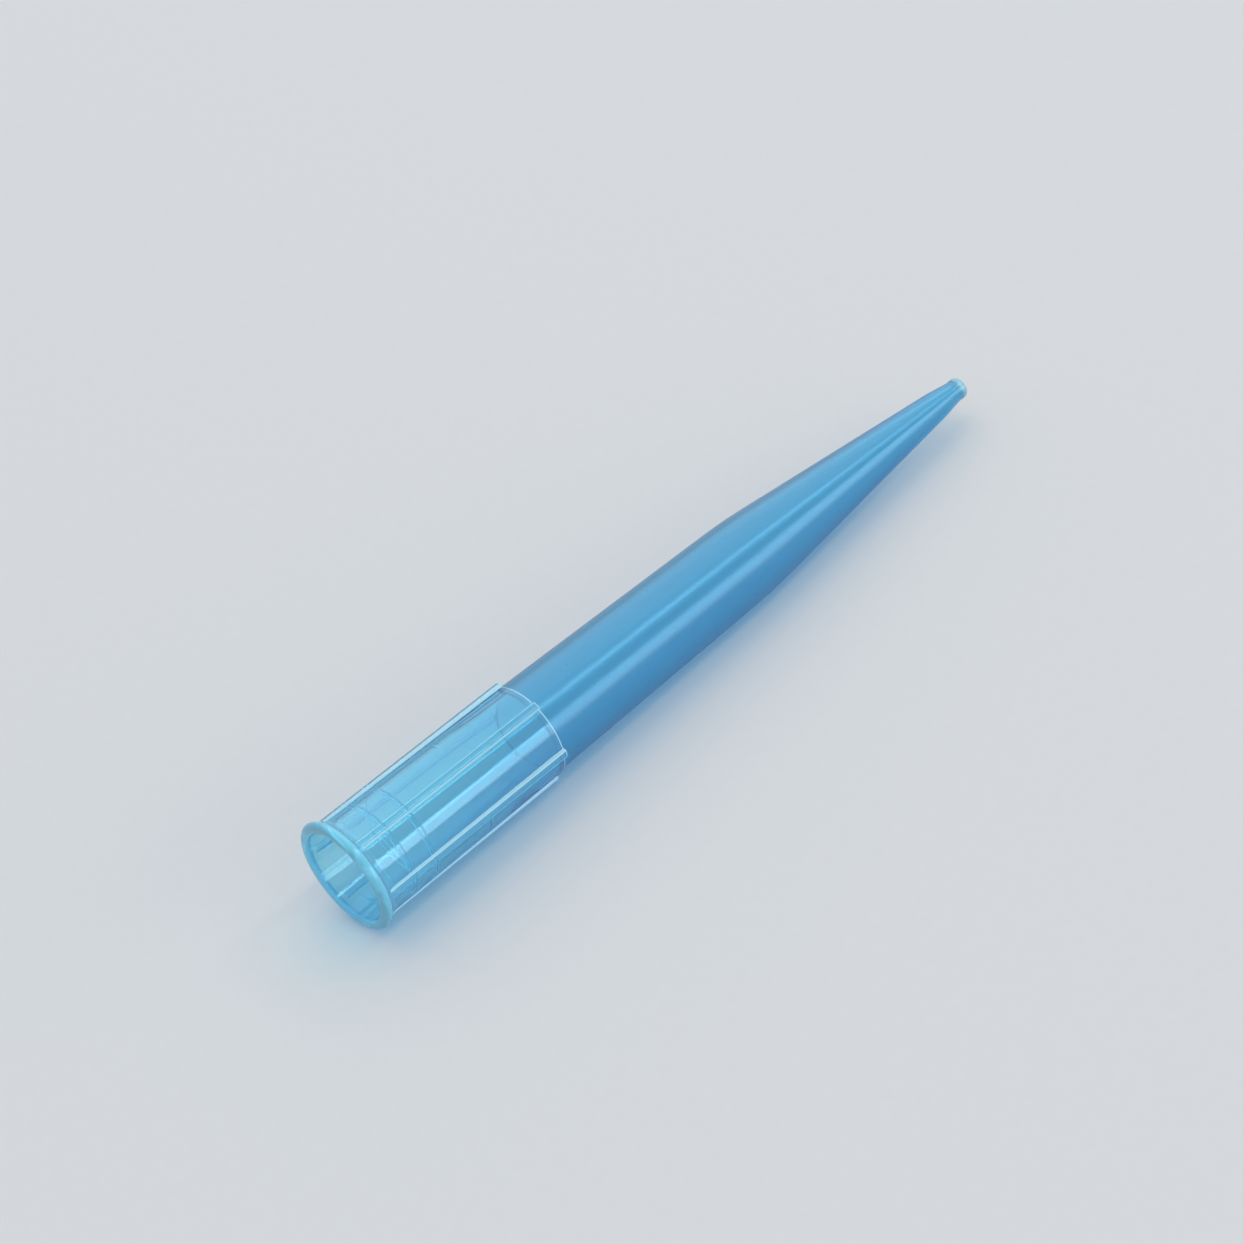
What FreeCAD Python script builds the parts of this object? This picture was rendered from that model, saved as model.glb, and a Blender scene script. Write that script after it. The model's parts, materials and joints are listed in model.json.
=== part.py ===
"""A 1000 microlitre pipette tip, moulded in one piece, lying on its side as it comes to rest.

The tip is drawn upright about its own axis, with its mouth at height 0 and its end at tip_length. Radii are
bore radii plus walls, as a core pin and its cavity give them. It is then laid down on Z = 0 with its end
towards +X. There its lip and its knee carry it between two ribs, which keep it from rolling away.
"""
import FreeCAD, Part
import math
import os

# The whole tip, in millimetres
tip_length = 71.0
knee_height = 44.2          # from the mouth to where the slim cone begins
collar_length = 19.2        # from the mouth to the step that drops into a rack

# The socket that grips the pipette's nozzle
seat_radius = 3.80
seat_length = 14.6
seat_draft = 1.06           # degrees a side
lead_in = 0.17              # how much wider the mouth is than the seat
lead_in_depth = 1.6
ring_heights = (3.5, 5.7)   # the two sealing rings inside the seat
ring_crest = 0.32           # the flat, straight-sided top of each ring
ring_rise = 0.06

# The collar and its rolled lip
collar_wall = 0.47
collar_draft = 0.46
lip_overhang = 0.53
lip_height = 0.55           # straight part of the lip's side, before the flare closes in at 45 degrees
lip_round = 0.40
lip_inner_round = 0.25
lip_shoulder_round = 0.35
flare_round = 1.4

# The ribs that stiffen the collar and are gripped when the tip is pushed on
rib_count = 6
rib_width = 0.70
rib_rise = 0.21             # above the collar at the mouth
rib_edge = 0.08

# The barrel, which tapers gently to the knee
barrel_step = 0.12          # how much the bore narrows where the seat ends
step_run = 0.9              # the sloping stretch that it narrows over
barrel_draft = 1.06
barrel_wall = 0.60
knee_round = 56.0

# The slim cone and the nose at its end
orifice_radius = 0.45
nose_wall = 0.48
nose_length = 0.8
nose_bead = 0.035           # how far the rolled end stands out
nose_taper = 2.4            # the steeper stretch behind the nose
nose_taper_rise = 0.35
nose_blend = 10.0
nose_end_round = 0.18

# How it lies
rest_roll = 2.5             # degrees it has rolled off the middle between two ribs

AXIS = FreeCAD.Vector(0, 0, 1)
CENTRE = FreeCAD.Vector(0, 0, 0)


def drop(length, draft):
    """How much a drafted wall closes in over a length."""
    return length * math.tan(math.radians(draft))


collar_mouth_radius = seat_radius + collar_wall
collar_end_radius = collar_mouth_radius - drop(collar_length, collar_draft)
lip_radius = collar_mouth_radius + lip_overhang
seat_end_radius = seat_radius - drop(seat_length - lead_in_depth, seat_draft)
bore_radius = seat_end_radius - barrel_step
bore_knee_radius = bore_radius - drop(knee_height - seat_length, barrel_draft)
knee_radius = bore_knee_radius + barrel_wall
barrel_radius = knee_radius + drop(knee_height - collar_length, barrel_draft)
nose_radius = orifice_radius + nose_wall


def rounded_outline(corners):
    """Closed wire through (radius, height, round) corners in the XZ plane, with a tangent arc at each."""
    points = [FreeCAD.Vector(radius, 0, height) for radius, height, _ in corners]
    edges = []
    starts = []
    ends = []
    for i, (_, _, round_radius) in enumerate(corners):
        point = points[i]
        back = (points[i - 1] - point).normalize()
        ahead = (points[(i + 1) % len(points)] - point).normalize()
        half_turn = (math.pi - back.getAngle(ahead)) / 2
        reach = round_radius * math.tan(half_turn)
        starts.append(point + back * reach)
        ends.append(point + ahead * reach)
        if round_radius:
            inward = (back + ahead).normalize()
            middle = point + inward * (round_radius / math.cos(half_turn) - round_radius)
            edges.append(Part.Arc(starts[-1], middle, ends[-1]).toShape())
    for i, end in enumerate(ends):
        edges.append(Part.LineSegment(end, starts[(i + 1) % len(starts)]).toShape())
    return Part.Wire(Part.__sortEdges__(edges))


def moulded_wall():
    """The lip, collar, barrel and cone, inside and out, turned about the axis."""
    flare_height = lip_height + lip_overhang
    flare_radius = collar_mouth_radius - drop(flare_height, collar_draft)
    barrel_start = seat_length + step_run
    outside = [
        (seat_radius + lead_in, 0, lip_inner_round),
        (lip_radius, 0, lip_round),
        (lip_radius, lip_height, lip_shoulder_round),
        (flare_radius, flare_height, flare_round),
        (collar_end_radius, collar_length, 0),
        (barrel_radius, collar_length, 0),
        (knee_radius, knee_height, knee_round),
        (nose_radius + nose_taper_rise, tip_length - nose_length - nose_taper, nose_blend),
        (nose_radius, tip_length - nose_length, 1.0),
        (nose_radius + nose_bead, tip_length - nose_length / 2, 1.5),
        (nose_radius, tip_length, nose_end_round),
    ]
    inside = [
        (orifice_radius, tip_length, 0),
        (orifice_radius, tip_length - nose_length, 0),
        (bore_knee_radius, knee_height, knee_round),
        (bore_radius - drop(step_run, barrel_draft), barrel_start, 0),
        (seat_end_radius, seat_length, 0),
        (seat_radius, lead_in_depth, flare_round),
    ]
    return Part.Face(rounded_outline(outside + inside)).revolve(CENTRE, AXIS, 360)


def sealing_ring(height):
    """A low band inside the seat with 45 degree sides and a straight crest, rooted in the wall."""
    wall = seat_radius - drop(height - lead_in_depth, seat_draft)
    root = wall + collar_wall / 2
    crest = wall - ring_rise
    half_crest = ring_crest / 2
    half_root = half_crest + ring_rise + collar_wall / 2
    outline = Part.makePolygon([
        FreeCAD.Vector(crest, 0, height - half_crest),
        FreeCAD.Vector(crest, 0, height + half_crest),
        FreeCAD.Vector(root, 0, height + half_root),
        FreeCAD.Vector(root, 0, height - half_root),
        FreeCAD.Vector(crest, 0, height - half_crest),
    ])
    return Part.Face(outline).revolve(CENTRE, AXIS, 360)


def rib():
    """One rib, from inside the lip's flare to the end of the collar, square-ended there."""
    top = collar_mouth_radius + rib_rise
    root = collar_wall / 2
    outline = Part.makePolygon([
        FreeCAD.Vector(collar_mouth_radius - root, 0, lip_height),
        FreeCAD.Vector(top, 0, lip_height),
        FreeCAD.Vector(top, 0, collar_length),
        FreeCAD.Vector(collar_end_radius - root, 0, collar_length),
        FreeCAD.Vector(collar_mouth_radius - root, 0, lip_height),
    ])
    spread = math.degrees(rib_width / top)
    bar = Part.Face(outline).revolve(CENTRE, AXIS, spread)
    bar.rotate(CENTRE, AXIS, -spread / 2)
    long_edges = [edge for edge in bar.Edges
                  if edge.Length > collar_length / 2 and math.hypot(*edge.CenterOfMass[:2]) > top - rib_edge]
    return bar.makeFillet(rib_edge, long_edges)


def upright_tip():
    """The whole moulding, standing on its mouth with its first rib towards +X."""
    ribs = []
    for i in range(rib_count):
        copy = rib()
        copy.rotate(CENTRE, AXIS, 360 * i / rib_count)
        ribs.append(copy)
    rings = [sealing_ring(height) for height in ring_heights]
    return moulded_wall().fuse(rings + ribs).removeSplitter().Solids[0]


def resting_tilt():
    """Degrees the axis dips towards the end when the lip and the knee both touch the floor."""
    barrel_slope = math.radians(barrel_draft)
    cone_fall = knee_radius - nose_radius - nose_taper_rise
    cone_run = tip_length - nose_length - nose_taper - knee_height
    half_turn = (math.atan2(cone_fall, cone_run) - barrel_slope) / 2
    normal = barrel_slope + half_turn
    to_centre = knee_round / math.cos(half_turn)
    knee_centre = (knee_height - to_centre * math.sin(normal), knee_radius - to_centre * math.cos(normal))
    lip_centre = (lip_height - lip_shoulder_round * math.tan(math.pi / 8), lip_radius - lip_shoulder_round)
    along = knee_centre[0] - lip_centre[0]
    across = knee_centre[1] - lip_centre[1]
    lean = math.asin((knee_round - lip_shoulder_round) / math.hypot(along, across))
    return math.degrees(math.atan2(-across, along) - lean)


def laid_down(shape):
    """Lays the tip along +X on Z = 0, with two ribs astride its lowest line, centred over the origin."""
    shape.rotate(CENTRE, AXIS, 180 / rib_count + rest_roll)
    shape.rotate(CENTRE, FreeCAD.Vector(0, 1, 0), 90 + resting_tilt())
    box = shape.optimalBoundingBox(False)
    shape.translate(FreeCAD.Vector(-box.Center.x, -box.Center.y, -box.ZMin))
    return shape


os.makedirs("parts", exist_ok=True)
laid_down(upright_tip()).exportStep("parts/pipette_tip.step")
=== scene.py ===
import bmesh
import bpy
import json
from math import ceil, cos, degrees, pi, radians, sin, tan
from mathutils import Matrix, Vector


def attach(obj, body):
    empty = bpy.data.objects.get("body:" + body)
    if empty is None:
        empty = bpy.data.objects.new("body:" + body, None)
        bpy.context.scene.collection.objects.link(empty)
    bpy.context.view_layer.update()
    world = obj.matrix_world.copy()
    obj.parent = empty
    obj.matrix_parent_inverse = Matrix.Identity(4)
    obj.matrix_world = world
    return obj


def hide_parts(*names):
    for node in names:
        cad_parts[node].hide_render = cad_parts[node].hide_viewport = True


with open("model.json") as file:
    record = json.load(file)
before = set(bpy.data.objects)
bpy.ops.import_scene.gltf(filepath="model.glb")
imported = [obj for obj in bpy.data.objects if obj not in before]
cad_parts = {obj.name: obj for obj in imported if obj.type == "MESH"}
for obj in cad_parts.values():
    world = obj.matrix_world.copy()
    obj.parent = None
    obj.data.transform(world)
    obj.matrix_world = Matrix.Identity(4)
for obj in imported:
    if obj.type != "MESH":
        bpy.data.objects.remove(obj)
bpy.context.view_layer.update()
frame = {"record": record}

# Where the tip lies. It rests on its lip and its knee with two ribs astride the floor line. The frame's
# mounts say where its axis runs: the seat is on it, the rim is square to it and the shoulder is a rib's end.
mounts = {mount["name"]: mount for mount in frame["record"]["mounts"]}
seat_point = Vector(mounts["nozzle_seat"]["pos_m"])
along = -Vector(mounts["nozzle_seat"]["axis"]).normalized()
mouth = seat_point - along * (seat_point - Vector(mounts["mouth_rim"]["pos_m"])).dot(along)
towards_rib = Vector(mounts["rack_shoulder"]["pos_m"]) - mouth
towards_rib = (towards_rib - along * towards_rib.dot(along)).normalized()
beside_rib = along.cross(towards_rib)

# The core pin's side: the tapered seat that grips a pipette's nozzle, with its lead-in and two sealing rings,
# the slope that ends it, and the bore that runs on to the orifice. A steel pin moulds and polishes all of it.
# A corner is its radius, its height from the mouth, how far it is rounded, all in millimetres, and its
# painted edge glow.
tip_length = 71.0
knee_height = 44.2
knee_round = 56.0
seat_radius = 3.80
seat_length = 14.6
seat_slope = tan(radians(1.06))
lead_in = 0.17
lead_in_depth = 1.6
flare_round = 1.4
ring_heights = (3.5, 5.7)
ring_crest = 0.32
ring_rise = 0.06
ring_round = 0.03
witness_height = 11.5       # where two parts of the core pin meet
witness_width = 0.3
witness_rise = 0.015
witness_round = 0.3
bore_step = 0.12
bore_step_middle = 0.45     # past the end of the seat
bore_step_run = 3.0         # softened: a quick step here bends the light into dark patches
bore_step_round = 20.0
seat_end_radius = seat_radius - (seat_length - lead_in_depth) * seat_slope
step_middle = seat_length + bore_step_middle
step_start, step_end = step_middle - bore_step_run / 2, step_middle + bore_step_run / 2
bore_radius = seat_end_radius - bore_step
bore_knee_radius = bore_radius - (knee_height - seat_length) * seat_slope
orifice_radius = 0.45
orifice_root_round = 0.3
nose_length = 0.8
mould_edge = 0.05           # what a polished steel edge leaves on the plastic

# The glow of light that has run along the wall and leaves at its edges is painted: an edge has a share of
# opaque pale blue that stands in for that glow, and how pale that share is.
no_glow = (0.0, 0.0)
faint_glow = (0.35, 1.0)
fine_glow = (0.8, 1.0)
end_glow = (0.55, 0.6)
ring_glow = (1.0, 1.0)


def ring_corners(height):
    """A sealing ring's four corners, from its inner side to the mouth's."""
    wall = seat_radius - (height - lead_in_depth) * seat_slope
    half = ring_crest / 2
    return [
        (wall, height + half + ring_rise, ring_round, ring_glow),
        (wall - ring_rise, height + half, ring_round, ring_glow),
        (wall - ring_rise, height - half, ring_round, ring_glow),
        (wall, height - half - ring_rise, ring_round, ring_glow),
    ]


witness_wall = seat_radius - (witness_height - lead_in_depth) * seat_slope
witness_corners = [
    (witness_wall, witness_height + witness_width / 2, witness_round, no_glow),
    (witness_wall - witness_rise, witness_height, witness_round, no_glow),
    (witness_wall, witness_height - witness_width / 2, witness_round, no_glow),
]
bore_corners = [
    (orifice_radius, tip_length, mould_edge, no_glow),
    (orifice_radius, tip_length - nose_length, orifice_root_round, no_glow),
    (bore_knee_radius, knee_height, knee_round, no_glow),
    (bore_radius - (step_end - seat_length) * seat_slope, step_end, bore_step_round, no_glow),
    (seat_end_radius + (seat_length - step_start) * seat_slope, step_start, bore_step_round, no_glow),
    *witness_corners,
    *ring_corners(ring_heights[1]),
    *ring_corners(ring_heights[0]),
    (seat_radius, lead_in_depth, flare_round, no_glow),
]

# The cavity's side: the rolled lip, the collar that flares into it, the step that drops into a rack, the
# barrel, the knee, the slim cone and the nose with its rolled end. From the step on the steel leaves it matt.
lip_radius = 4.80
lip_height = 0.55
lip_overhang = 0.53
lip_inner_round = 0.25
lip_round = 0.40
lip_shoulder_round = 0.35
collar_mouth_radius = 4.27
collar_slope = tan(radians(0.46))
collar_length = 19.2
collar_end_radius = collar_mouth_radius - collar_length * collar_slope
collar_end_round = 0.08
flare_height = lip_height + lip_overhang
barrel_wall = 0.60
knee_radius = bore_knee_radius + barrel_wall
barrel_radius = knee_radius + (knee_height - collar_length) * seat_slope
nose_radius = 0.93
nose_taper = 2.4            # the steeper stretch behind the nose
nose_taper_rise = 0.35
nose_taper_round = 10.0
nose_root_round = 1.0
nose_bead = 0.035           # how far the rolled end stands out
nose_bead_round = 1.5
nose_end_round = 0.18
# The lip's painted glow: over half of it is opaque blue standing in for light that leaves the wall there.
lip_glow = (0.55, 0.0)
lip_corners = [
    (seat_radius + lead_in, 0, lip_inner_round, lip_glow),
    (lip_radius, 0, lip_round, lip_glow),
    (lip_radius, lip_height, lip_shoulder_round, lip_glow),
]
collar_corners = [
    (collar_mouth_radius - flare_height * collar_slope, flare_height, flare_round, no_glow),
    (collar_end_radius, collar_length, collar_end_round, fine_glow),
]
barrel_corners = [
    (barrel_radius, collar_length, mould_edge, faint_glow),
    (knee_radius, knee_height, knee_round, no_glow),
    (nose_radius + nose_taper_rise, tip_length - nose_length - nose_taper, nose_taper_round, no_glow),
    (nose_radius, tip_length - nose_length, nose_root_round, no_glow),
    (nose_radius + nose_bead, tip_length - nose_length / 2, nose_bead_round, faint_glow),
    (nose_radius, tip_length, nose_end_round, end_glow),
]

# The ribs that stiffen the collar: six in all, drafted and round-edged, growing out of the lip's flare and
# cut off square at the step. Half a rib's section is how far out each line of it runs, how much of the rib's
# rise it has, and its painted edge glow.
rib_count = 6
rib_radius = 4.48
half_rib = 0.35
rib_top_glow = (0.2, 0.0)
rib_half_section = [
    (half_rib + 0.07, 0.0, no_glow),
    (half_rib + 0.02, 0.06, fine_glow),
    (half_rib, 0.25, fine_glow),
    (half_rib - 0.005, 0.64, fine_glow),
    (half_rib - 0.02, 0.87, fine_glow),
    (half_rib - 0.05, 0.97, fine_glow),
    (half_rib - 0.09, 1.0, rib_top_glow),
    (half_rib / 3, 1.0, rib_top_glow),
]
strips_between_ribs = 14


def columns():
    """(angle, share of a rib's rise, painted edge glow) of each line of the mesh that runs from the mouth to
    the end.
    """
    lines = []
    pitch = 2 * pi / rib_count
    root = rib_half_section[0][0] / rib_radius
    for number in range(rib_count):
        middle = number * pitch
        lines += [(middle - out / rib_radius, share, edge) for out, share, edge in rib_half_section]
        lines += [(middle + out / rib_radius, share, edge) for out, share, edge in reversed(rib_half_section)]
        for part in range(1, strips_between_ribs):
            lines.append((middle + root + (pitch - 2 * root) * part / strips_between_ribs, 0, no_glow))
    return lines


# The moulding: polypropylene shot in one piece, so one closed skin runs round the lip, along the outside,
# through the orifice and back along the bore.
millimetre = 0.001
arc_step = 12               # degrees of a rounded corner between two rows of the mesh
fewest_arc_steps = 3
longest_gap = 0.9           # between two rows along a straight run
edge_guard = 0.06           # how far an edge's painted glow fades into the wall beside it


def rounded(corners):
    """(radius, height, corner number, painted edge glow) round a closed outline, with a tangent arc at each
    corner.
    """
    points = [Vector(corner[:2]) for corner in corners]
    rows = []
    for number, (_, _, size, edge) in enumerate(corners):
        point = points[number]
        back = (points[number - 1] - point).normalized()
        ahead = (points[(number + 1) % len(points)] - point).normalized()
        turn = pi - back.angle(ahead)
        start = point + back * size * tan(turn / 2)
        centre = point + (back + ahead).normalized() * size / cos(turn / 2)
        way = 1 if back.x * ahead.y - back.y * ahead.x < 0 else -1
        steps = max(fewest_arc_steps, ceil(degrees(turn) / arc_step))
        for step in range(steps + 1):
            spoke = Matrix.Rotation(way * turn * step / steps, 2) @ (start - centre)
            rows.append((*(centre + spoke), number, edge))
    return rows


def filled(rows):
    """The same rows with more along each straight run, and one close to each of its ends."""
    full = []
    for row, after in zip(rows, rows[1:] + rows[:1]):
        full.append(row)
        gap = Vector((after[0] - row[0], after[1] - row[1])).length
        if row[2] == after[2] or gap < 3 * edge_guard:
            continue
        spans = ceil(gap / longest_gap)
        edge = lip_glow if row[3] == after[3] == lip_glow else no_glow
        near_end = edge_guard / gap
        for share in [near_end] + [part / spans for part in range(1, spans)] + [1 - near_end]:
            place = [here + (there - here) * share for here, there in zip(row[:2], after[:2])]
            full.append((*place, row[2], edge))
    return full


def moulded_skin(rows, lines, ribbed, frosted):
    """A closed mesh through every row and line. Ribs stand on the ribbed corners, and the bore comes last."""
    body = bmesh.new()
    # Each point keeps the share and paleness of its painted edge glow, its frosting and the bore's polish.
    glow_share = body.verts.layers.float.new("painted_glow_share")
    glow_paleness = body.verts.layers.float.new("painted_glow_paleness")
    frosting = body.verts.layers.float.new("frosting")
    polish = body.verts.layers.float.new("bore_polish")
    rings = []
    for radius, height, corner, row_glow in rows:
        rise = max(rib_radius - max(radius, collar_end_radius), 0) if corner in ribbed else 0
        ring = []
        for angle, share, line_glow in lines:
            spoke = towards_rib * cos(angle) + beside_rib * sin(angle)
            point = body.verts.new(mouth + (along * height + spoke * (radius + share * rise)) * millimetre)
            point[glow_share], point[glow_paleness] = max(row_glow, line_glow if rise else no_glow)
            point[frosting] = 1 if corner in frosted else 0
            point[polish] = 1 if corner >= frosted.stop else 0
            ring.append(point)
        rings.append(ring)
    for ring, after in zip(rings, rings[1:] + rings[:1]):
        for number in range(len(ring)):
            body.faces.new((ring[number - 1], after[number - 1], after[number], ring[number]))
    bmesh.ops.recalc_face_normals(body, faces=body.faces)
    mesh = bpy.data.meshes.new("moulded_tip")
    body.to_mesh(mesh)
    body.free()
    mesh.shade_smooth()
    return mesh


outside_corners = lip_corners + collar_corners + barrel_corners
ribbed = range(len(lip_corners), len(lip_corners + collar_corners))
frosted = range(ribbed.stop, len(outside_corners))
skin_rows = filled(rounded(outside_corners + bore_corners))
tip = bpy.data.objects.new("moulded_tip", moulded_skin(skin_rows, columns(), ribbed, frosted))
bpy.context.scene.collection.objects.link(tip)
even = tip.modifiers.new("even_normals", "WEIGHTED_NORMAL")
even.mode = "FACE_AREA_WITH_ANGLE"
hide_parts("pipette_tip")
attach(tip, "root")


# The plastic: clear polypropylene dyed blue, which shows most where the wall is seen edge on. The collar and
# the bore are polished, and the barrel and the cone are a little frosted and hazy, drawn out lengthwise.
class Socket:
    """A shader socket that takes ordinary arithmetic."""

    def __init__(self, tree, socket):
        self.tree = tree
        self.socket = socket

    def maths(self, operation, *values):
        return node(self.tree, "ShaderNodeMath", {"operation": operation}, dict(enumerate(values)))[0]

    def __add__(self, other):
        return self.maths("ADD", self, other)

    def __sub__(self, other):
        return self.maths("SUBTRACT", self, other)

    def __rsub__(self, other):
        return self.maths("SUBTRACT", other, self)

    def __mul__(self, other):
        return self.maths("MULTIPLY", self, other)

    __radd__ = __add__
    __rmul__ = __mul__


def node(tree, kind, settings, inputs):
    """A new node with its settings made and its sockets fed. Gives its outputs as Sockets."""
    made = tree.nodes.new(kind)
    for name, value in settings.items():
        setattr(made, name, value)
    for name, value in inputs.items():
        if isinstance(value, Socket):
            tree.links.new(value.socket, made.inputs[name])
        else:
            made.inputs[name].default_value = value
    return [Socket(tree, output) for output in made.outputs]


def mixed(tree, share, first, second):
    """A colour that goes from the first to the second as the share goes from 0 to 1."""
    return node(tree, "ShaderNodeMix", {"data_type": "RGBA"}, {0: share, 6: first, 7: second})[2]


def stored(tree, layer):
    """A number that the mesh keeps at each of its points."""
    return node(tree, "ShaderNodeAttribute", {"attribute_name": layer}, {})[2]


def material(name):
    """An empty node material and its tree."""
    made = bpy.data.materials.new(name)
    made.use_nodes = True
    made.node_tree.nodes.clear()
    return made, made.node_tree


collar_blue = (0.68, 0.90, 0.96, 1)
barrel_blue = (0.32, 0.66, 0.82, 1)
streak_blue = (0.28, 0.62, 0.80, 1)
# The next two colours are painted glow: the deep one on the lip and rib tops, the pale one along fine edges
# and rings.
deep_glow_blue = (0.23, 0.70, 0.87, 1)
pale_glow_blue = (0.50, 0.84, 0.95, 1)
haze_blue = (0.04, 0.40, 0.68, 1)
haze = 0.10                 # share of the frosted skin that looks solid
dye_colour = (0.18, 0.83, 0.95, 1)
dye_density = 1400.0        # per metre
shadow_tint = (0.60, 0.80, 0.88, 1)
plastic_ior = 1.49
clearness = 0.93
polished_roughness = 0.03
frosted_roughness = 0.23    # on top of the polished
frosting_grain = 0.05
edge_roughness = 0.08
bore_shine_ior = 2.0        # the polished bore mirrors more than the outside does
draw_stretch = (0.06, 1.0, 1.0)
draw_scale = 1500.0
grain_scale = 9000.0
grain_depth = 0.00002       # metres
grain_strength = 0.05

plastic, tree = material("blue_polypropylene")
place = node(tree, "ShaderNodeTexCoord", {}, {})[3]
drawn_out = node(tree, "ShaderNodeVectorMath", {"operation": "MULTIPLY"}, {0: place, 1: draw_stretch})[0]
draw = node(tree, "ShaderNodeTexNoise", {}, {"Vector": drawn_out, "Scale": draw_scale, "Detail": 3.0})[0]
fine = node(tree, "ShaderNodeTexNoise", {}, {"Vector": place, "Scale": grain_scale, "Detail": 2.0})[0]
matt = stored(tree, "frosting")
polished = stored(tree, "bore_polish")
glow_share = stored(tree, "painted_glow_share")
glow_paleness = stored(tree, "painted_glow_paleness")
tint = mixed(tree, matt, collar_blue, mixed(tree, draw, barrel_blue, streak_blue))
roughness = polished_roughness + matt * (frosted_roughness + frosting_grain * fine)
bump = node(
    tree, "ShaderNodeBump", {},
    {"Strength": grain_strength, "Distance": grain_depth, "Height": matt * (fine + draw)})[0]
clear = node(
    tree, "ShaderNodeBsdfPrincipled", {},
    {"Base Color": tint, "Roughness": roughness, "IOR": plastic_ior, "Transmission Weight": clearness,
     "Normal": bump, "Coat Weight": polished, "Coat Roughness": polished_roughness,
     "Coat IOR": bore_shine_ior})[0]
# Painted glow: an opaque blue stands in for light piped out at the edges; on frosted skin it also holds the
# haze.
glow_and_haze_blue = mixed(tree, glow_paleness, mixed(tree, matt, deep_glow_blue, haze_blue), pale_glow_blue)
painted_glow_and_haze = node(
    tree, "ShaderNodeBsdfPrincipled", {},
    {"Base Color": glow_and_haze_blue, "Roughness": edge_roughness, "IOR": plastic_ior})[0]
glow_and_haze_share = glow_share + haze * matt * (1 - glow_share)
skin = node(tree, "ShaderNodeMixShader", {}, {0: glow_and_haze_share, 1: clear, 2: painted_glow_and_haze})[0]
lit_through = node(tree, "ShaderNodeBsdfTransparent", {}, {"Color": shadow_tint})[0]
shadow_ray = node(tree, "ShaderNodeLightPath", {}, {})[1]
surface = node(tree, "ShaderNodeMixShader", {}, {0: shadow_ray, 1: skin, 2: lit_through})[0]
dye = node(tree, "ShaderNodeVolumeAbsorption", {}, {"Color": dye_colour, "Density": dye_density})[0]
node(tree, "ShaderNodeOutputMaterial", {}, {"Surface": surface, "Volume": dye})
tip.data.materials.append(plastic)

# The surface that the tip lies on: a large sheet of pale matt paper with a faint grain, laid flat. It isn't
# part of the tip.
floor_half = 4.0
floor_colour = (0.66, 0.67, 0.68, 1)
paper_grain_scale = 900.0
paper_grain_shade = 0.97
floor_roughness = 0.9
floor_shine = 0.15
paper, tree = material("pale_paper")
place = node(tree, "ShaderNodeTexCoord", {}, {})[3]
grain = node(tree, "ShaderNodeTexNoise", {}, {"Vector": place, "Scale": paper_grain_scale, "Detail": 3.0})[0]
shade = mixed(tree, grain, floor_colour, tuple(paper_grain_shade * part for part in floor_colour[:3]) + (1,))
sheet = node(
    tree, "ShaderNodeBsdfPrincipled", {},
    {"Base Color": shade, "Roughness": floor_roughness, "Specular IOR Level": floor_shine})[0]
node(tree, "ShaderNodeOutputMaterial", {}, {"Surface": sheet})
ground = bmesh.new()
quarters = [(-1, -1), (1, -1), (1, 1), (-1, 1)]
ground.faces.new([ground.verts.new((x * floor_half, y * floor_half, 0)) for x, y in quarters])
floor_mesh = bpy.data.meshes.new("floor")
ground.to_mesh(floor_mesh)
ground.free()
floor_mesh.materials.append(paper)
floor = bpy.data.objects.new("floor", floor_mesh)
bpy.context.scene.collection.objects.link(floor)


# The studio: a big soft box over the tip's far side, a strip box standing beside it, a thin one above that
# and an even pale room. The boxes' long sides lie along the tip, so it mirrors them as lengthwise streaks.
def soft_box(name, power, size, towards, distance):
    """An area lamp that faces the middle of the tip from a direction, with its length along the tip."""
    lamp = bpy.data.lights.new(name, "AREA")
    lamp.shape = "RECTANGLE"
    lamp.size, lamp.size_y = size
    lamp.energy = power
    box = bpy.data.objects.new(name, lamp)
    away = Vector(towards).normalized()
    length_way = (along - away * along.dot(away)).normalized()
    box.location = away * distance
    box.rotation_euler = Matrix((length_way, away.cross(length_way), away)).transposed().to_euler()
    box.visible_camera = False
    bpy.context.scene.collection.objects.link(box)


soft_box("overhead_box", power=39.0, size=(3.6, 3.6), towards=(0.40, 0.50, 0.75), distance=2.8)
soft_box("side_strip", power=13.0, size=(2.2, 0.80), towards=(0.47, -0.86, 0.23), distance=2.0)
soft_box("thin_strip", power=5.6, size=(2.2, 0.24), towards=(0.448, -0.361, 0.818), distance=2.0)
room_colour = (0.92, 0.96, 1.0, 1)
room_strength = 0.66
world = bpy.data.worlds.new("room")
world.use_nodes = True
world.node_tree.nodes["Background"].inputs["Color"].default_value = room_colour
world.node_tree.nodes["Background"].inputs["Strength"].default_value = room_strength
bpy.context.scene.world = world

# The camera looks down on the tip from its mouth's side, a little rolled. Light has to cross many walls of
# clear plastic on its way to it, so it is followed through more bounces than usual.
lens = 82.59
sensor = 36.0
aim = Vector((0.00004, 0.007164, 0.0))
distance = 0.233497
heading = radians(55.530)
elevation = radians(37.703)
roll = radians(16.934)
bounces = 24
forward = Vector((cos(heading) * cos(elevation), sin(heading) * cos(elevation), -sin(elevation)))
camera_data = bpy.data.cameras.new("camera")
camera_data.lens = lens
camera_data.sensor_width = sensor
camera_data.clip_start = 0.01
camera_data.clip_end = 10.0
camera = bpy.data.objects.new("camera", camera_data)
level = forward.to_track_quat("-Z", "Y").to_matrix()
camera.matrix_world = Matrix.Translation(aim - forward * distance) @ (
    level @ Matrix.Rotation(-roll, 3, "Z")).to_4x4()
bpy.context.scene.collection.objects.link(camera)
bpy.context.scene.camera = camera
bpy.context.scene.view_settings.view_transform = "Standard"
bpy.context.scene.cycles.max_bounces = bounces
bpy.context.scene.cycles.transmission_bounces = bounces
